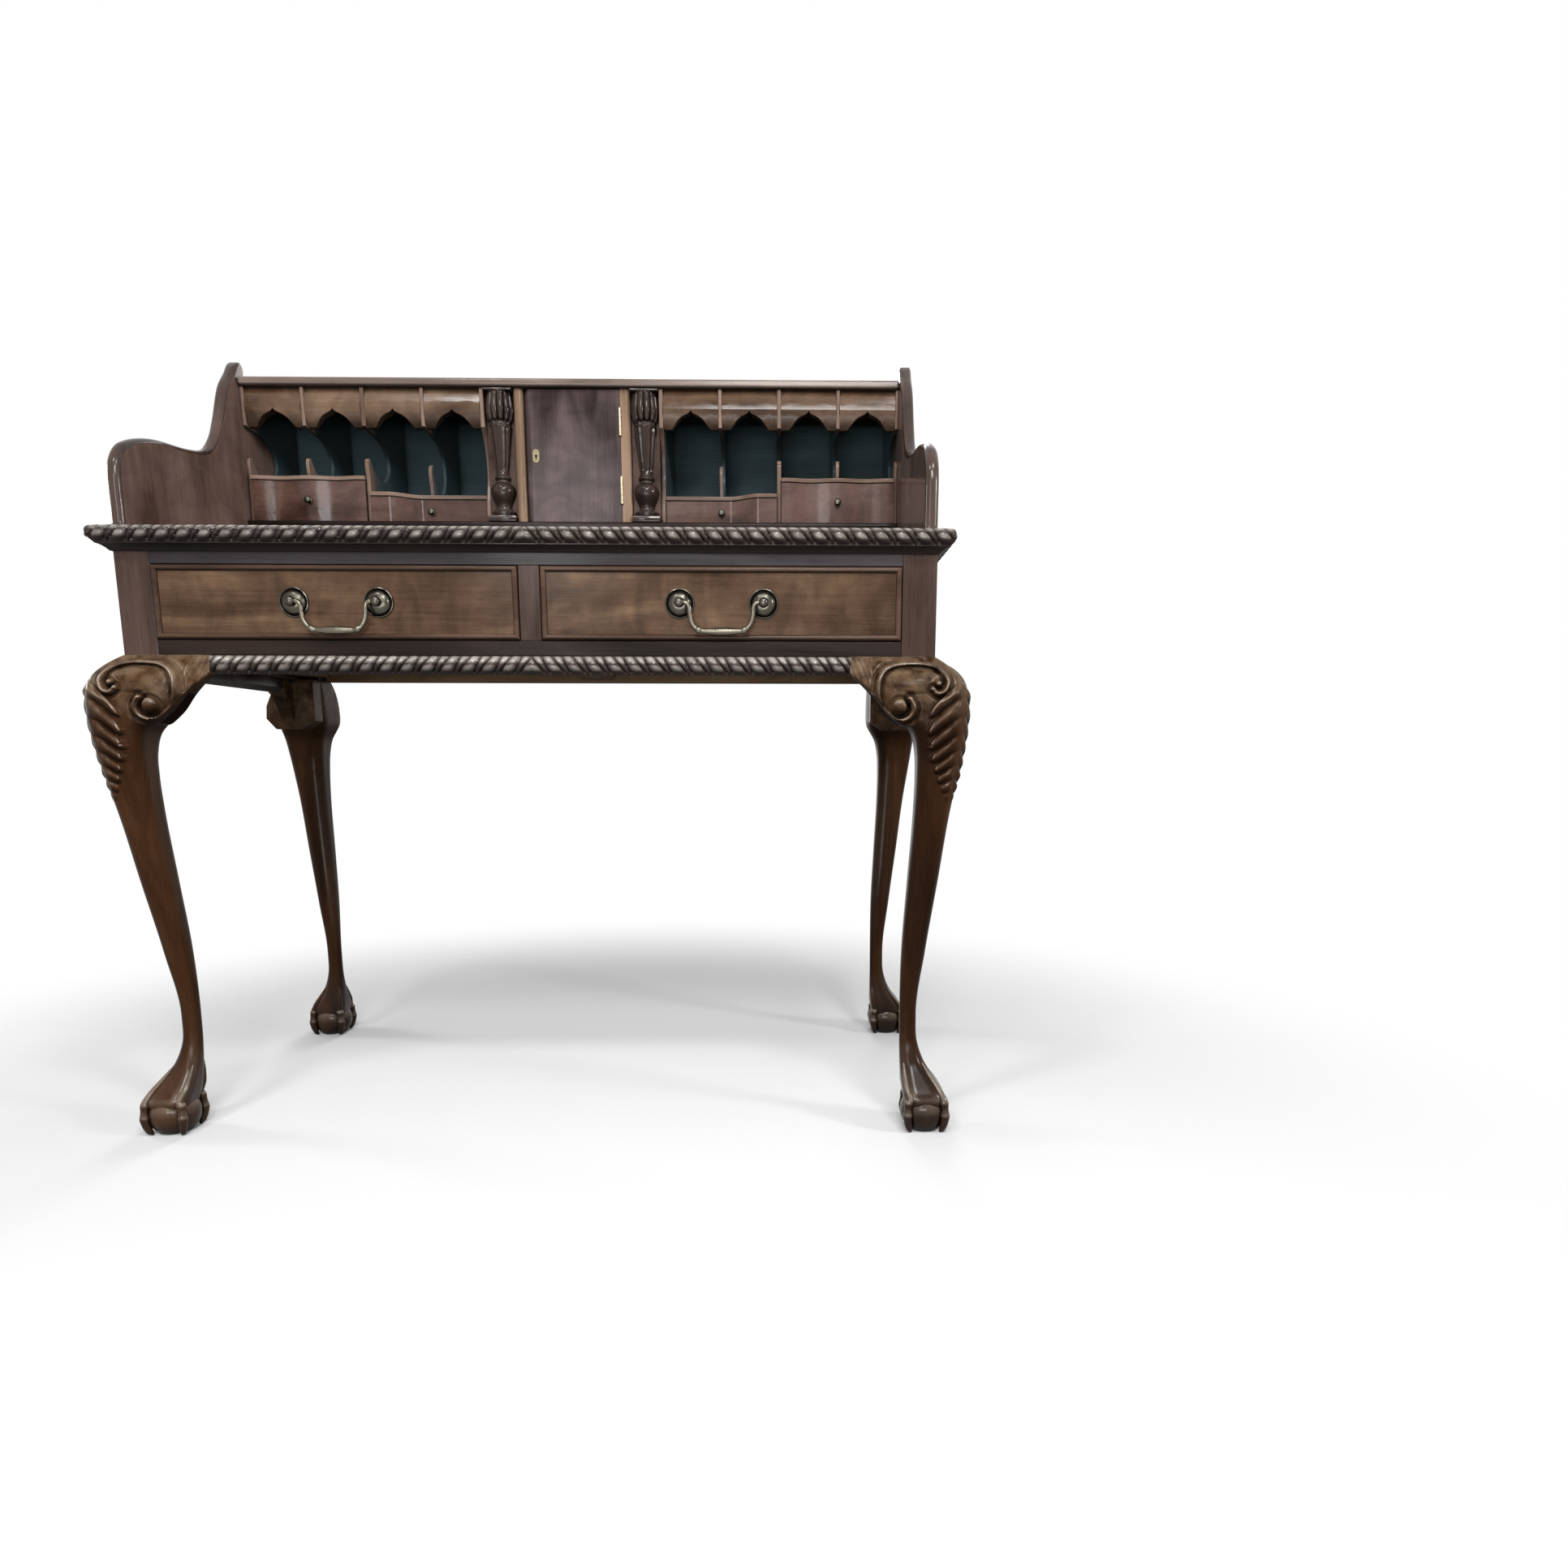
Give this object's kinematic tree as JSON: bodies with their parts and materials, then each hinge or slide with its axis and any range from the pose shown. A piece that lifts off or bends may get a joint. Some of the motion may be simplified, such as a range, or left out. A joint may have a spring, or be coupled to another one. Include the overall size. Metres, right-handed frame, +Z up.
{
  "type": "writing desk",
  "caption": "Writing desk on carved cabriole legs with claw feet: frieze drawers with bail handles under a gallery of pigeonholes, small drawers and a cupboard between ogee sides.",
  "frame": {"origin": "on the floor, below the middle of the desk", "axes": "+X along the front to the viewer's right, +Y from the front to the back, +Z up"},
  "size_m": [1.0706, 0.5456, 1.055],
  "materials": {
    "mahogany": "dark french-polished mahogany",
    "figured_mahogany": "polished figured mahogany",
    "drawer_lining": "bare oak drawer lining",
    "carcase_wood": "bare carcase wood",
    "stained_back": "dark stained back board",
    "brass": "aged lacquered brass",
    "iron": "dark iron"
  },
  "bodies": {
    "desk": {"leg_front_left": "mahogany", "leg_back_left": "mahogany", "gallery_side_left": "mahogany", "leg_front_right": "mahogany", "leg_back_right": "mahogany", "gallery_side_right": "mahogany", "knee_brackets": "mahogany", "front_top_rail": "mahogany", "front_bottom_rail": "mahogany", "drawer_divider": "mahogany", "side_rails": "mahogany", "table_top": "mahogany", "top_gadroon": "mahogany", "apron_gadroon": "mahogany", "gallery_top": "mahogany", "gallery_base": "mahogany", "gallery_plinth": "mahogany", "tall_partitions": "mahogany", "mid_partitions": "mahogany", "low_dividers": "mahogany", "shelves": "mahogany", "valances": "mahogany", "cupboard_walls": "mahogany", "back_rail": "carcase_wood", "drawer_runners": "carcase_wood", "glue_blocks": "carcase_wood", "gallery_back": "stained_back", "hinge_fixed_leaves": "brass"},
    "drawer_left": {"drawer_left_front": "figured_mahogany", "drawer_left_bead": "mahogany", "drawer_left_box": "drawer_lining", "drawer_left_rosettes": "brass", "drawer_left_posts": "brass"},
    "bail_left": {"bail_left": "brass"},
    "small_drawer_outer_left": {"small_drawer_outer_left_front": "figured_mahogany", "small_drawer_outer_left_box": "drawer_lining", "small_drawer_outer_left_knob": "brass"},
    "small_drawer_inner_left": {"small_drawer_inner_left_front": "figured_mahogany", "small_drawer_inner_left_box": "drawer_lining", "small_drawer_inner_left_knob": "brass"},
    "document_left": {"document_left_box": "mahogany", "document_left_column": "mahogany"},
    "drawer_right": {"drawer_right_front": "figured_mahogany", "drawer_right_bead": "mahogany", "drawer_right_box": "drawer_lining", "drawer_right_rosettes": "brass", "drawer_right_posts": "brass"},
    "bail_right": {"bail_right": "brass"},
    "small_drawer_outer_right": {"small_drawer_outer_right_front": "figured_mahogany", "small_drawer_outer_right_box": "drawer_lining", "small_drawer_outer_right_knob": "brass"},
    "small_drawer_inner_right": {"small_drawer_inner_right_front": "figured_mahogany", "small_drawer_inner_right_box": "drawer_lining", "small_drawer_inner_right_knob": "brass"},
    "document_right": {"document_right_box": "mahogany", "document_right_column": "mahogany"},
    "cupboard_door": {"door": "figured_mahogany", "hinge_moving_leaves": "brass", "escutcheon": "brass", "door_lock": "iron"}
  },
  "joints": [
    {"name": "drawer_left_slide", "type": "slide", "parent": "desk", "child": "drawer_left", "axis": [0, -1, 0], "range_m": [0, 0.28]},
    {"name": "bail_left_pivot", "type": "hinge", "parent": "drawer_left", "child": "bail_left", "pos_m": [-0.234, -0.2465, 0.6742], "axis": [-1, 0, 0], "range_deg": [0, 100]},
    {"name": "small_drawer_outer_left_slide", "type": "slide", "parent": "desk", "child": "small_drawer_outer_left", "axis": [0, -1, 0], "range_m": [0, 0.1]},
    {"name": "small_drawer_inner_left_slide", "type": "slide", "parent": "desk", "child": "small_drawer_inner_left", "axis": [0, -1, 0], "range_m": [0, 0.1]},
    {"name": "document_left_slide", "type": "slide", "parent": "desk", "child": "document_left", "axis": [0, -1, 0], "range_m": [0, 0.11]},
    {"name": "drawer_right_slide", "type": "slide", "parent": "desk", "child": "drawer_right", "axis": [0, -1, 0], "range_m": [0, 0.28]},
    {"name": "bail_right_pivot", "type": "hinge", "parent": "drawer_right", "child": "bail_right", "pos_m": [0.234, -0.2465, 0.6742], "axis": [-1, 0, 0], "range_deg": [0, 100]},
    {"name": "small_drawer_outer_right_slide", "type": "slide", "parent": "desk", "child": "small_drawer_outer_right", "axis": [0, -1, 0], "range_m": [0, 0.1]},
    {"name": "small_drawer_inner_right_slide", "type": "slide", "parent": "desk", "child": "small_drawer_inner_right", "axis": [0, -1, 0], "range_m": [0, 0.1]},
    {"name": "document_right_slide", "type": "slide", "parent": "desk", "child": "document_right", "axis": [0, -1, 0], "range_m": [0, 0.11]},
    {"name": "cupboard_door_hinge", "type": "hinge", "parent": "desk", "child": "cupboard_door", "pos_m": [0.0707, 0.0654, 0.927], "axis": [0, 0, 1], "range_deg": [0, 95]}
  ]
}
